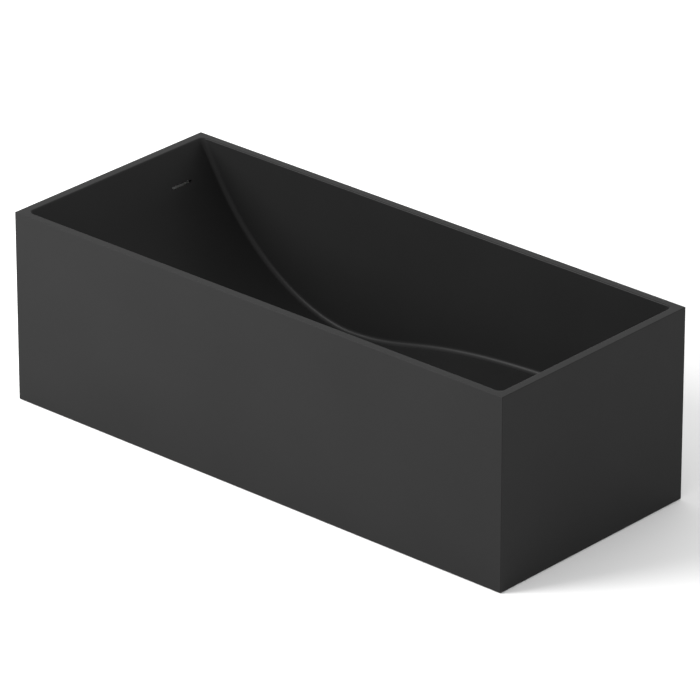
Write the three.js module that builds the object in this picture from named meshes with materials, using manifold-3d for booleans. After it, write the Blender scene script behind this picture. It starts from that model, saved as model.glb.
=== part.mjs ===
// Freestanding rectangular bathtub, fabricated from solid-surface sheet around one wave-shaped bed.
//
// Millimetres, +Z up, X along the length with the recline (head end) at -X, origin on the floor under
// the middle of the tub. A casing of four mitred panels carries two upright liners. Between the liners
// lies the bed, one bent sheet that runs from the head rim down the recline, through the hip hollow and
// up to the foot rim. Plywood ribs on a steel frame with six levelling feet carry the bed. Below the hip
// hollow sits a click-clack waste with a cup trap, and a slot in the recline feeds it by a hose.

import * as THREE from 'three';
import { ConvexGeometry } from 'three/addons/geometries/ConvexGeometry.js';
import { mergeVertices } from 'three/addons/utils/BufferGeometryUtils.js';
import Module from 'manifold-3d';

const wasm = await Module();
wasm.setup();

// ---- Driving dimensions ----

const LENGTH = 1700;
const WIDTH = 720;
const HEIGHT = 550;
const SHEET = 12; // every solid-surface board and the bed
const GAP = 0.3; // adhesive line, or clearance between neighbours that touch
const CASING_LIFT = 2; // the casing's hem clears the floor, so the feet carry the weight

const RECLINE_ANGLE = THREE.MathUtils.degToRad(57.7); // from the horizontal
const RECLINE_STRAIGHT = 130; // flat stretch below the head rim
const RECLINE_PULL = 320; // Bezier handle at the end of the flat stretch
const HIP_X = -284;
const HIP_DEPTH = 419; // below the rim: the lowest point, where the waste is
const HIP_PULL_HEAD = 70;
const HIP_PULL_FOOT = 240;
const FOOT_DEPTH = 328;
const FOOT_PULL = 640;
const FOOT_ANGLE = THREE.MathUtils.degToRad(63);
const FOOT_BEND = 90; // inside bend radius between floor and foot wall
const COVE_RADIUS = 15; // concave fillet between the bed and each liner

const SLOT = { width: 75, height: 6.8, y: 198, depth: 78 }; // overflow, cut level through the recline
const RECESS = { radius: 37, depth: 4, hole: 24.5 }; // seat for the waste

const RAIL = { width: 30, height: 40, wall: 2, y: 300, z: 42, halfLength: 790 };
const WELD_NUT = { acrossCorners: 22, height: 14 };
const CROSS_X = [-740, 80, 740];
const RIB = { thickness: 18, halfWidth: 310, at: [-620, -430, -100, 240, 580] };
const HOSE_NOTCH = { y0: 238, y1: 278, top: 122 }; // in the ribs that the overflow hose passes
const FOOT_X = [-700, 0, 700];
const PAD = { radius: 24, brim: 4, neck: 10, height: 12 };
const STUD = { radius: 6, top: 70, hexAcross: 18, hexHeight: 6 };
const LOCKNUT = { acrossCorners: 21, height: 8 };

const FLANGE = {
  radius: 35, thickness: 2.5, rounding: 0.8, dish: 27.5, dishDepth: 6, bore: 20.5, tail: 23.9, tailEnd: 103,
};
const SPIDER = { bottom: 106, top: 110, spokeWidth: 3, boss: 13.5 };
const FLANGE_SEAL = { inner: 26, outer: 34, thickness: 1 };
const BODY = {
  chamber: 24.2, collar: 29.5, brim: 34, brimUnderside: 110, shoulder: 81.5,
  dipInner: 18, dipOuter: 20.5, dipEnd: 20, skirtInner: 46, skirtOuter: 48.5, skirtEnd: 66,
};
const SPIGOT = { outer: 10.5, inner: 8.3 }; // overflow connections at both ends of the hose
const INLET = { z: 98, end: 62 };
const TRAP = { radius: 52, wall: 3, bottom: 8, top: 78 };
const OUTLET = { z: 55.5, outer: 18, inner: 15.5, socket: 21, socketEnd: 76, bendStart: 90, bendRadius: 36 };
const OUTLET_NUT = { radius: 26, start: 60, lip: 76.3, end: 77 };

const CARTRIDGE = {
  outer: 10, inner: 7.4, bottom: 86, floor: 88, collar: 12.5, collarUnderside: 110.3, top: 113,
};
const PLUNGER = { radius: 7, bottom: 96, top: 116 };
const SPRING = { radius: 5.2, wire: 0.6, turns: 4 };
const PLUG = { radius: 31, brim: 1.6, rise: 4.5, boss: 7, bossDepth: 7, stem: 4, lift: 0.4 };
const PLUG_SEAL = { outer: 22, drop: 3.2 };

const BOX = { halfWidth: 52, halfHeight: 20, depth: 27, wall: 3, flange: 6, standoff: 1.5 };
const HOSE = { outer: 14, inner: 11.2, top: 425, end: 42 };
const CLIP = { halfWidth: 4.5, thickness: 1.8, housingLength: 16, housingTop: 7, fromHoseEnd: 9 };

// ---- Derived places ----

const headInnerFace = -LENGTH / 2 + SHEET;
const liningY = WIDTH / 2 - 2 * SHEET; // inner face of each liner
const bedZ = HEIGHT - HIP_DEPTH; // top of the bed at the waste
const bedUnderside = bedZ - SHEET;
const railTop = RAIL.z + RAIL.height;

// ---- Materials ----

function material(color, roughness, metalness = 0) {
  return new THREE.MeshStandardMaterial({ color, roughness, metalness });
}

const solidSurface = material(0x2b2b2b, 0.55);
const plywood = material(0xb58f5e, 0.8);
const steel = material(0x8b8f92, 0.45, 0.9);
const blackCoat = material(0x1c1c1c, 0.6, 0.2);
const brass = material(0xb59a55, 0.35, 1);
const rubber = material(0x161616, 0.9);
const whitePlastic = material(0xdedede, 0.5);
const greyPlastic = material(0x8c9094, 0.6);

// ---- Solid helpers ----

// A closed three.js geometry as a manifold-3d solid.
function solidOf(geometry) {
  const bare = new THREE.BufferGeometry();
  bare.setAttribute('position', geometry.getAttribute('position'));
  bare.setIndex(geometry.index);
  const merged = mergeVertices(bare, 1e-3);
  return new wasm.Manifold(
    new wasm.Mesh({
      numProp: 3,
      vertProperties: new Float32Array(merged.attributes.position.array),
      triVerts: new Uint32Array(merged.index.array),
    }),
  );
}

function geometryOf(solid) {
  const mesh = solid.getMesh();
  const geometry = new THREE.BufferGeometry();
  geometry.setAttribute('position', new THREE.BufferAttribute(mesh.vertProperties, 3));
  geometry.setIndex(new THREE.BufferAttribute(mesh.triVerts, 1));
  const faceted = geometry.toNonIndexed();
  faceted.computeVertexNormals();
  return faceted;
}

function join(...geometries) {
  return geometryOf(geometries.map(solidOf).reduce((a, b) => a.add(b)));
}

function cut(geometry, ...tools) {
  return geometryOf(tools.map(solidOf).reduce((a, b) => a.subtract(b), solidOf(geometry)));
}

function box(x0, x1, y0, y1, z0, z1) {
  const geometry = new THREE.BoxGeometry(x1 - x0, y1 - y0, z1 - z0);
  return geometry.translate((x0 + x1) / 2, (y0 + y1) / 2, (z0 + z1) / 2);
}

// Upright cylinder on the Z axis.
function cylinder(radius, z0, z1, sides = 32) {
  const geometry = new THREE.CylinderGeometry(radius, radius, z1 - z0, sides);
  return geometry.rotateX(Math.PI / 2).translate(0, 0, (z0 + z1) / 2);
}

// Turned solid on the Z axis. The outline is a list of [radius, z], counter-clockwise with the radius
// to the right, that starts and ends on the axis or closes on itself.
function turned(outline, sides = 32) {
  const points = outline.map(([r, z]) => new THREE.Vector2(r, z));
  return new THREE.LatheGeometry(points, sides).rotateX(Math.PI / 2);
}

// Turned ring with a rectangular section.
function ring(inner, outer, z0, z1, sides = 32) {
  return turned([[inner, z0], [outer, z0], [outer, z1], [inner, z1], [inner, z0]], sides);
}

// Hexagonal nut on the Z axis.
function hexNut(acrossCorners, hole, z0, z1) {
  return cut(cylinder(acrossCorners / 2, z0, z1, 6), cylinder(hole, z0 - 1, z1 + 1, 16));
}

// A shape drawn in X and Z, extruded from y0 to y1.
function slab(shape, y0, y1) {
  const geometry = new THREE.ExtrudeGeometry(shape, { depth: y1 - y0, bevelEnabled: false });
  return geometry.rotateX(Math.PI / 2).translate(0, y1, 0);
}

// Rounded slot shape, centred, width by height.
function stadium(width, height) {
  const r = height / 2;
  const reach = width / 2 - r;
  const shape = new THREE.Shape();
  shape.absarc(reach, 0, r, -Math.PI / 2, Math.PI / 2);
  shape.absarc(-reach, 0, r, Math.PI / 2, 1.5 * Math.PI);
  return shape;
}

function tubeAlong(path, outer, inner, steps, sides) {
  const section = new THREE.Shape();
  section.absarc(0, 0, outer, 0, 2 * Math.PI);
  const bore = new THREE.Path();
  bore.absarc(0, 0, inner, 0, 2 * Math.PI);
  section.holes.push(bore);
  const options = { steps, extrudePath: path, bevelEnabled: false, curveSegments: sides };
  return new THREE.ExtrudeGeometry(section, options);
}

// ---- The bed's profile, in the XZ plane ----

const headTop = new THREE.Vector3(
  headInnerFace + GAP + SHEET / Math.sin(RECLINE_ANGLE), 0, HEIGHT);
const footTop = new THREE.Vector3(
  LENGTH / 2 - SHEET - GAP - SHEET / Math.sin(FOOT_ANGLE), 0, HEIGHT);

function bedCurves(overrun = 0) {
  const down = new THREE.Vector3(Math.cos(RECLINE_ANGLE), 0, -Math.sin(RECLINE_ANGLE));
  const up = new THREE.Vector3(Math.cos(FOOT_ANGLE), 0, Math.sin(FOOT_ANGLE));
  const level = new THREE.Vector3(1, 0, 0);
  const from = (point, direction, distance) => point.clone().addScaledVector(direction, distance);

  const reclineEnd = from(headTop, down, RECLINE_STRAIGHT);
  const hip = new THREE.Vector3(HIP_X, 0, bedZ);
  const footCorner = from(footTop, up, -FOOT_DEPTH / Math.sin(FOOT_ANGLE));
  const setback = FOOT_BEND * Math.tan(FOOT_ANGLE / 2);
  const bendStart = from(footCorner, level, -setback);
  const bendEnd = from(footCorner, up, setback);
  const bendPull = (4 / 3) * Math.tan(FOOT_ANGLE / 4) * FOOT_BEND; // cubic that stands for the arc

  const curves = [
    [new THREE.LineCurve3(from(headTop, down, -overrun), reclineEnd), 1],
    [new THREE.CubicBezierCurve3(
      reclineEnd, from(reclineEnd, down, RECLINE_PULL), from(hip, level, -HIP_PULL_HEAD), hip), 14],
    [new THREE.CubicBezierCurve3(
      hip, from(hip, level, HIP_PULL_FOOT), from(bendStart, level, -FOOT_PULL), bendStart), 12],
    [new THREE.CubicBezierCurve3(
      bendStart, from(bendStart, level, bendPull), from(bendEnd, up, -bendPull), bendEnd), 6],
    [new THREE.LineCurve3(bendEnd, from(footTop, up, overrun)), 1],
  ];
  return curves;
}

// Points along the bed's top, each with the normal that points into the bath.
function bedSamples(overrun = 0) {
  const samples = [];
  for (const [curve, divisions] of bedCurves(overrun)) {
    for (let i = samples.length ? 1 : 0; i <= divisions; i++) {
      const t = i / divisions;
      const along = curve.getTangent(t);
      samples.push({ point: curve.getPoint(t), normal: new THREE.Vector3(-along.z, 0, along.x) });
    }
  }
  return samples;
}

// The underside, a sheet's thickness below the top and cut level at the rim.
function undersidePoints() {
  const points = bedSamples().map(({ point, normal }) => point.clone().addScaledVector(normal, -SHEET));
  points[0].set(headTop.x - SHEET / Math.sin(RECLINE_ANGLE), 0, HEIGHT);
  points[points.length - 1].set(footTop.x + SHEET / Math.sin(FOOT_ANGLE), 0, HEIGHT);
  return points;
}

const underside = undersidePoints();

function undersideZ(x) {
  const i = underside.findIndex((p) => p.x > x);
  const [a, b] = [underside[i - 1], underside[i]];
  return THREE.MathUtils.mapLinear(x, a.x, b.x, a.z, b.z);
}

function flat(points) {
  return points.map((p) => new THREE.Vector2(p.x, p.z));
}

// ---- Assembly ----

const bathtub = new THREE.Group();

function add(name, geometry, surface, group = bathtub) {
  const mesh = new THREE.Mesh(geometry, surface);
  mesh.name = name;
  group.add(mesh);
  return mesh;
}

// Casing: four boards with mitred upright edges.
function mitredPanel(halfLength, halfDepth) {
  const outer = halfLength - GAP * 0.75;
  const inner = halfLength - SHEET - GAP * 0.75;
  const points = [];
  for (const z of [CASING_LIFT, HEIGHT]) {
    for (const side of [-1, 1]) {
      points.push(new THREE.Vector3(side * outer, -halfDepth, z));
      points.push(new THREE.Vector3(side * inner, SHEET - halfDepth, z));
    }
  }
  return new ConvexGeometry(points);
}

function addCasing() {
  const long = () => mitredPanel(LENGTH / 2, WIDTH / 2);
  const short = () => mitredPanel(WIDTH / 2, LENGTH / 2);
  add('front_panel', long(), solidSurface);
  add('rear_panel', long(), solidSurface).rotation.z = Math.PI;
  add('head_panel', short(), solidSurface).rotation.z = -Math.PI / 2;
  add('foot_panel', short(), solidSurface).rotation.z = Math.PI / 2;
}

// Upright inner boards, their lower edge cut to the bed's underside.
function addLiners() {
  const shape = new THREE.Shape(flat(underside));
  add('front_liner', slab(shape, -liningY - SHEET + GAP, -liningY), solidSurface);
  add('rear_liner', slab(shape, liningY, liningY + SHEET - GAP), solidSurface);
}

// Point on the recline's top surface at the overflow slot.
const slotPoint = new THREE.Vector3(
  headTop.x + SLOT.depth / Math.tan(RECLINE_ANGLE), SLOT.y, HEIGHT - SLOT.depth);

function addBed() {
  const top = bedSamples().map(({ point }) => point);
  const outline = new THREE.Shape(flat([...top, ...underside.slice().reverse()]));
  const sheet = slab(outline, -liningY + GAP, liningY - GAP);

  const slotReach = 40;
  const slotTool = new THREE.ExtrudeGeometry(stadium(SLOT.width, SLOT.height), {
    depth: slotReach, bevelEnabled: false, curveSegments: 5,
  });
  slotTool.translate(0, 0, -slotReach / 2).rotateZ(Math.PI / 2).rotateY(Math.PI / 2);
  slotTool.translate(slotPoint.x, slotPoint.y, slotPoint.z);

  const recess = cylinder(RECESS.radius, bedZ - RECESS.depth, bedZ + 20, 36).translate(HIP_X, 0, 0);
  const hole = cylinder(RECESS.hole, bedUnderside - 20, bedZ, 36).translate(HIP_X, 0, 0);
  add('wave_bed', cut(sheet, slotTool, recess, hole), solidSurface);
}

// Cove strip between the bed and one liner: a three-cornered section with a concave long side.
function coveStrip(side) {
  const facets = 4;
  const face = liningY - GAP;
  const section = [[face, GAP]];
  for (let i = 0; i <= facets; i++) {
    const angle = (i / facets) * (Math.PI / 2);
    const y = liningY - COVE_RADIUS + COVE_RADIUS * Math.sin(angle);
    const height = COVE_RADIUS - COVE_RADIUS * Math.cos(angle);
    section.push([Math.min(y, face), Math.max(height, GAP)]);
  }
  const overrun = 40; // the strip runs past the rim and is trimmed level with it
  const samples = bedSamples(overrun);
  const positions = [];
  for (const { point, normal } of samples) {
    for (const [y, height] of section) {
      const at = point.clone().addScaledVector(normal, height);
      positions.push(at.x, side * y, at.z);
    }
  }
  const count = section.length;
  const index = [];
  const quad = (a, b, c, d) => {
    if (side > 0) index.push(a, b, c, a, c, d);
    else index.push(a, c, b, a, d, c);
  };
  for (let i = 0; i + 1 < samples.length; i++) {
    for (let j = 0; j < count; j++) {
      const k = (j + 1) % count;
      quad(i * count + j, (i + 1) * count + j, (i + 1) * count + k, i * count + k);
    }
  }
  const last = (samples.length - 1) * count;
  for (let j = 1; j + 1 < count; j++) {
    if (side > 0) index.push(0, j, j + 1, last, last + j + 1, last + j);
    else index.push(0, j + 1, j, last, last + j, last + j + 1);
  }
  const geometry = new THREE.BufferGeometry();
  geometry.setAttribute('position', new THREE.Float32BufferAttribute(positions, 3));
  geometry.setIndex(index);
  const aboveRim = box(-LENGTH, LENGTH, -WIDTH, WIDTH, HEIGHT, HEIGHT + 200);
  return cut(geometry, aboveRim);
}

function addCoves() {
  add('front_cove', coveStrip(-1), solidSurface);
  add('rear_cove', coveStrip(1), solidSurface);
}

// Steel frame: two rails with a nut welded in over each foot, and cross members between them.
function tubeSection() {
  const { width, height, wall } = RAIL;
  const outline = (w, h) => [[-w, -h], [w, -h], [w, h], [-w, h]].map(([x, y]) => new THREE.Vector2(x, y));
  const shape = new THREE.Shape(outline(width / 2, height / 2));
  shape.holes.push(new THREE.Path(outline(width / 2 - wall, height / 2 - wall)));
  return shape;
}

function addFrame() {
  const middle = RAIL.z + RAIL.height / 2;
  const tube = (length) => {
    const geometry = new THREE.ExtrudeGeometry(tubeSection(), { depth: length, bevelEnabled: false });
    return geometry.translate(0, 0, -length / 2).rotateX(Math.PI / 2);
  };
  const [low, weldNutTop] = [RAIL.z + RAIL.wall - GAP, RAIL.z + WELD_NUT.height];
  for (const [name, side] of [['front_rail', -1], ['rear_rail', 1]]) {
    const y = side * RAIL.y;
    const rail = tube(2 * RAIL.halfLength).rotateZ(Math.PI / 2).translate(0, y, middle);
    const weldNuts = FOOT_X.map((x) =>
      cylinder(WELD_NUT.acrossCorners / 2, low, weldNutTop, 6).translate(x, y, 0));
    const holes = FOOT_X.map((x) =>
      cylinder(STUD.radius + GAP, RAIL.z - 1, weldNutTop + 1, 16).translate(x, y, 0));
    add(name, cut(join(rail, ...weldNuts), ...holes), steel);
  }
  const between = 2 * (RAIL.y - RAIL.width / 2 - GAP);
  CROSS_X.forEach((x, i) => add(`cross_member_${i + 1}`, tube(between).translate(x, 0, middle), steel));
}

// Plywood ribs that stand on the rails, their top edge cut to the slope of the bed's underside. The two
// nearest the head end are notched for the overflow hose.
function addRibs() {
  RIB.at.forEach((x, i) => {
    const [x0, x1] = [x - RIB.thickness / 2, x + RIB.thickness / 2];
    const foot = railTop + GAP;
    const shape = new THREE.Shape(flat([
      { x: x0, z: foot }, { x: x1, z: foot },
      { x: x1, z: undersideZ(x1) - 2 * GAP }, { x: x0, z: undersideZ(x0) - 2 * GAP },
    ]));
    let rib = slab(shape, -RIB.halfWidth, RIB.halfWidth);
    if (x < HIP_X) {
      rib = cut(rib, box(x0 - 1, x1 + 1, HOSE_NOTCH.y0, HOSE_NOTCH.y1, foot - 1, HOSE_NOTCH.top));
    }
    add(`rib_${i + 1}`, rib, plywood);
  });
}

// Levelling feet: a rubber pad, a stud with a hexagon for the spanner, and a locknut under the rail.
function addFeet() {
  const studFoot = PAD.height + GAP;
  const nutTop = RAIL.z - GAP;
  const padOutline = [
    [0, 0], [PAD.radius, 0], [PAD.radius, PAD.brim], [PAD.neck, PAD.height], [0, PAD.height],
  ];
  FOOT_X.forEach((x, column) => [-1, 1].forEach((side, row) => {
    const number = column * 2 + row + 1;
    const place = new THREE.Group();
    place.position.set(x, side * RAIL.y, 0);
    bathtub.add(place);
    const stud = join(
      cylinder(STUD.radius, studFoot, STUD.top, 16),
      cylinder(STUD.hexAcross / 2, studFoot, studFoot + STUD.hexHeight, 6));
    const locknut = hexNut(LOCKNUT.acrossCorners, STUD.radius + GAP, nutTop - LOCKNUT.height, nutTop);
    add(`foot_pad_${number}`, turned(padOutline, 24), rubber, place);
    add(`foot_stud_${number}`, stud, steel, place);
    add(`foot_locknut_${number}`, locknut, steel, place);
  }));
}

// ---- Waste, on an upright axis through the hip hollow ----

const waste = new THREE.Group();
waste.position.x = HIP_X;
bathtub.add(waste);

function addWasteFlange() {
  const { radius, thickness, rounding, dish, dishDepth, bore, tail, tailEnd } = FLANGE;
  const seat = bedZ - RECESS.depth;
  const sealTop = seat + GAP + FLANGE_SEAL.thickness;
  add('flange_seal', ring(FLANGE_SEAL.inner, FLANGE_SEAL.outer, seat + GAP, sealTop), rubber, waste);

  const under = sealTop + GAP;
  const top = under + thickness;
  const shell = turned([
    [tail, tailEnd], [tail, under], [radius, under], [radius, top - rounding], [radius - rounding, top],
    [dish, top], [bore, top - dishDepth], [bore, tailEnd], [tail, tailEnd],
  ]);
  const reach = bore + 1;
  const half = SPIDER.spokeWidth / 2;
  const spokes = [0, 1, 2].map((i) =>
    box(-reach, reach, -half, half, SPIDER.bottom, SPIDER.top).rotateZ((i * Math.PI) / 3));
  const boss = cylinder(SPIDER.boss, SPIDER.bottom, SPIDER.top);
  const hole = cylinder(CARTRIDGE.outer + GAP, SPIDER.bottom - 1, SPIDER.top + 1);
  add('waste_flange', join(shell, cut(join(...spokes, boss), hole)), blackCoat, waste);
}

// The cup trap's upper half: threaded collar, overflow inlet, lid and dip tube.
function addWasteBody() {
  const sealThickness = 3;
  const top = bedUnderside - 2 * GAP - sealThickness;
  add('body_seal', ring(BODY.chamber + 0.1, BODY.brim, top + GAP, bedUnderside - GAP), rubber, waste);
  const lid = TRAP.top + GAP;
  const funnel = BODY.shoulder - 1;
  const body = turned([
    [BODY.dipInner, BODY.dipEnd], [BODY.dipOuter, BODY.dipEnd], [BODY.dipOuter, lid],
    [BODY.skirtInner, lid], [BODY.skirtInner, BODY.skirtEnd], [BODY.skirtOuter, BODY.skirtEnd],
    [BODY.skirtOuter, lid], [TRAP.radius, lid], [TRAP.radius, BODY.shoulder],
    [BODY.collar, BODY.shoulder], [BODY.collar, BODY.brimUnderside], [BODY.brim, BODY.brimUnderside],
    [BODY.brim, top], [BODY.chamber, top], [BODY.chamber, BODY.shoulder], [BODY.dipInner, funnel],
    [BODY.dipInner, BODY.dipEnd],
  ]);
  const alongY = (radius, from, to) =>
    cylinder(radius, from, to, 24).rotateX(-Math.PI / 2).translate(0, 0, INLET.z);
  const spigot = alongY(SPIGOT.outer, BODY.chamber + 1.8, INLET.end);
  const bore = alongY(SPIGOT.inner, 10, INLET.end + 1);
  add('waste_body', cut(join(body, spigot), bore), whitePlastic, waste);
}

// The trap's lower half: a cup with a socket for the outlet, and the pipe that turns down to the floor.
function addTrap() {
  const { radius, wall, bottom, top } = TRAP;
  const { z, outer, inner, socket, socketEnd, bendStart, bendRadius } = OUTLET;
  const cup = turned([
    [0, bottom], [radius, bottom], [radius, top], [radius - wall, top],
    [radius - wall, bottom + wall], [0, bottom + wall],
  ]);
  const alongX = (r, from, to) => cylinder(r, from, to, 32).rotateY(Math.PI / 2).translate(0, 0, z);
  const socketFloor = radius + 4;
  const sleeve = cut(alongX(socket, radius - 8, socketEnd), cylinder(radius - 1, 0, 100));
  const mouth = alongX(outer + GAP, socketFloor, socketEnd + 1);
  const port = alongX(inner, radius / 2, socketFloor + 1);
  add('trap_cup', cut(join(cup, sleeve), mouth, port), whitePlastic, waste);
  const sealInner = BODY.skirtInner + 0.4;
  add('trap_seal', ring(sealInner, radius - wall - 0.4, 62, BODY.skirtEnd - GAP), rubber, waste);

  const start = new THREE.Vector3(socketFloor + GAP, 0, z);
  const corner = new THREE.Vector3(bendStart + bendRadius, 0, z);
  const beforeBend = new THREE.Vector3(bendStart, 0, z);
  const afterBend = new THREE.Vector3(corner.x, 0, z - bendRadius);
  const pull = 0.5523; // handle share that makes a cubic follow a quarter circle
  const path = new THREE.CurvePath();
  path.add(new THREE.LineCurve3(start, beforeBend));
  path.add(new THREE.CubicBezierCurve3(
    beforeBend, beforeBend.clone().lerp(corner, pull), afterBend.clone().lerp(corner, pull), afterBend));
  path.add(new THREE.LineCurve3(afterBend, new THREE.Vector3(corner.x, 0, CASING_LIFT)));
  add('outlet_elbow', tubeAlong(path, outer, inner, 14, 10), greyPlastic, waste);

  const nut = cut(
    cylinder(OUTLET_NUT.radius, OUTLET_NUT.start, OUTLET_NUT.end, 12),
    cylinder(socket + GAP, OUTLET_NUT.start - 1, OUTLET_NUT.lip),
    cylinder(outer + 2 * GAP, OUTLET_NUT.start - 1, OUTLET_NUT.end + 1, 24));
  add('outlet_nut', nut.rotateY(Math.PI / 2).translate(0, 0, z), whitePlastic, waste);
}

// Click-clack plug: cap, seal, stem and plunger travel together in the cartridge.
function addPlug() {
  const seat = bedZ + PLUG.lift;
  const bossEnd = seat - PLUG.bossDepth;
  const stemTop = seat - 2;
  const cap = turned([
    [0, bossEnd], [PLUG.boss, bossEnd], [PLUG.boss, seat], [PLUG.radius, seat],
    [PLUG.radius, seat + PLUG.brim], [PLUG.radius - 1.2, seat + 2.8], [22, seat + PLUG.rise - 0.7],
    [12, seat + PLUG.rise - 0.1], [0, seat + PLUG.rise],
  ]);
  const socket = cylinder(PLUG.stem + GAP, bossEnd - 1, stemTop + 0.5, 20);
  add('plug_cap', cut(cap, socket), blackCoat, waste);
  add('plug_seal', ring(PLUG.boss + GAP, PLUG_SEAL.outer, seat - PLUG_SEAL.drop, seat - GAP), rubber, waste);
  add('plug_stem', cylinder(PLUG.stem, PLUNGER.top + GAP, stemTop, 20), brass, waste);
  add('cartridge_plunger', cylinder(PLUNGER.radius, PLUNGER.bottom, PLUNGER.top, 24), whitePlastic, waste);

  const { outer, inner, bottom, floor, collar, collarUnderside, top } = CARTRIDGE;
  add('cartridge_body', turned([
    [0, bottom], [outer, bottom], [outer, collarUnderside], [collar, collarUnderside], [collar, top],
    [inner, top], [inner, floor], [0, floor],
  ], 20), brass, waste);

  const low = floor + SPRING.wire + GAP;
  const high = PLUNGER.bottom - SPRING.wire - GAP;
  class Coil extends THREE.Curve {
    getPoint(t, target = new THREE.Vector3()) {
      const angle = 2 * Math.PI * SPRING.turns * t;
      const [x, y] = [SPRING.radius * Math.cos(angle), SPRING.radius * Math.sin(angle)];
      return target.set(x, y, low + (high - low) * t);
    }
  }
  const section = new THREE.Shape();
  section.absarc(0, 0, SPRING.wire, 0, 2 * Math.PI);
  const steps = SPRING.turns * 10;
  const options = { steps, extrudePath: new Coil(), bevelEnabled: false, curveSegments: 3 };
  add('cartridge_spring', new THREE.ExtrudeGeometry(section, options), steel, waste);
}

// ---- Overflow, behind the slot in the recline ----

function addOverflow() {
  // Slope frame: down the recline, and outwards from its back.
  const down = new THREE.Vector2(Math.cos(RECLINE_ANGLE), -Math.sin(RECLINE_ANGLE));
  const out = new THREE.Vector2(-Math.sin(RECLINE_ANGLE), -Math.cos(RECLINE_ANGLE));
  const back = new THREE.Vector2(slotPoint.x, slotPoint.z).addScaledVector(out, SHEET);
  const at = (t, o) => back.clone().addScaledVector(down, t).addScaledVector(out, o);
  const block = (t0, t1, o0, o1, halfWidth) =>
    slab(new THREE.Shape([at(t0, o0), at(t1, o0), at(t1, o1), at(t0, o1)]),
      SLOT.y - halfWidth, SLOT.y + halfWidth);

  const { halfWidth, halfHeight, depth, wall, flange, standoff } = BOX;
  const hollow = block(-halfHeight + wall, halfHeight - wall, -1, depth - wall, halfWidth - wall);
  const plate = (o0, o1) =>
    block(-halfHeight - flange, halfHeight + flange, o0, o1, halfWidth + flange);
  const spigotAt = at(8, depth / 2);
  const spigotFoot = HOSE.top - 20;
  const upright = (radius, z0, z1) =>
    cylinder(radius, z0, z1, 24).translate(spigotAt.x, SLOT.y, 0);
  const shell = join(
    block(-halfHeight, halfHeight, standoff, depth, halfWidth),
    plate(standoff, standoff + 2.5),
    upright(SPIGOT.outer, spigotFoot, spigotAt.y));
  const bore = upright(SPIGOT.inner, spigotFoot - 1, spigotAt.y);
  add('overflow_box', cut(shell, hollow, bore), whitePlastic);
  add('overflow_gasket', cut(plate(GAP, standoff - GAP), hollow), rubber);

  const route = [
    [spigotAt.x, SLOT.y, HOSE.top], [spigotAt.x, SLOT.y, HOSE.top - 30], [spigotAt.x, 203, 300],
    [-783, 210, 205], [-757, 226, 140], [-700, 246, 110], [-610, 257, 101], [-500, 259, INLET.z],
    [-400, 252, INLET.z], [-330, 215, INLET.z], [-292, 150, INLET.z],
    [HIP_X, 90, INLET.z], [HIP_X, 64, INLET.z], [HIP_X, HOSE.end, INLET.z],
  ].map(([x, y, z]) => new THREE.Vector3(x, y, z));
  const path = new THREE.CatmullRomCurve3(route, false, 'centripetal');
  add('overflow_hose', tubeAlong(path, HOSE.outer, HOSE.inner, 44, 6), greyPlastic);
  addHoseClips(spigotAt.x);
}

// Worm-drive clips on both ends of the hose: a band with its screw housing.
function addHoseClips(upperX) {
  const { halfWidth, thickness, housingLength, housingTop, fromHoseEnd } = CLIP;
  const housing = box(
    HOSE.outer + 1, HOSE.outer + housingTop, -housingLength / 2, housingLength / 2, -4, 4);
  const band = ring(HOSE.outer + GAP, HOSE.outer + thickness, -halfWidth, halfWidth, 24);
  const clip = join(band, housing);
  add('upper_hose_clip', clip, steel).position.set(upperX, SLOT.y, HOSE.top - fromHoseEnd);
  const lower = add('lower_hose_clip', clip.clone(), steel);
  lower.rotation.x = Math.PI / 2;
  lower.position.set(HIP_X, HOSE.end + fromHoseEnd, INLET.z);
}

addCasing();
addLiners();
addBed();
addCoves();
addFrame();
addRibs();
addFeet();
addWasteFlange();
addWasteBody();
addTrap();
addPlug();
addOverflow();

export default bathtub;
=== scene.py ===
import math

import bmesh
import bpy
import numpy as np
from mathutils import Matrix, Vector


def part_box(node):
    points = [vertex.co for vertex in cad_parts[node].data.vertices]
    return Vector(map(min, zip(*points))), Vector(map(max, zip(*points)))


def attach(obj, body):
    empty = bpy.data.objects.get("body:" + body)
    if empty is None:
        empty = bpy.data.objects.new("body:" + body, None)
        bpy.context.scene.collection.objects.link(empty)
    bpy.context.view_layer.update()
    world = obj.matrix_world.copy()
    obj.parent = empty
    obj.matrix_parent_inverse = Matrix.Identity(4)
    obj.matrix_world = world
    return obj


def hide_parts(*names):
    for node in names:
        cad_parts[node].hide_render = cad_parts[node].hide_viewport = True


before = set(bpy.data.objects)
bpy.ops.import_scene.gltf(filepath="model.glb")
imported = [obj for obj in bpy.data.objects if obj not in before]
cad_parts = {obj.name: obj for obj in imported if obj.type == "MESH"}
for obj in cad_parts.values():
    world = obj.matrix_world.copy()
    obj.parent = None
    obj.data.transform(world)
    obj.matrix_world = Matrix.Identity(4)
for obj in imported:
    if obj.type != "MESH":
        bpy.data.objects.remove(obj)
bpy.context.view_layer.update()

# ---- Measures, in metres, from the frame ----

MM = 0.001
CASING_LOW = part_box("front_panel")[0]
CASING_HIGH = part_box("rear_panel")[1]
HALF_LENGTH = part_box("foot_panel")[1].x
HALF_WIDTH = CASING_HIGH.y
RIM_Z = CASING_HIGH.z
HEM_Z = CASING_LOW.z
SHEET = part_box("foot_panel")[1].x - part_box("foot_panel")[0].x
LINER_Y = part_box("rear_liner")[0].y
HIP_X = (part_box("waste_flange")[0].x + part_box("waste_flange")[1].x) / 2

# ---- The bed's shape, as in the CAD ----

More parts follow.
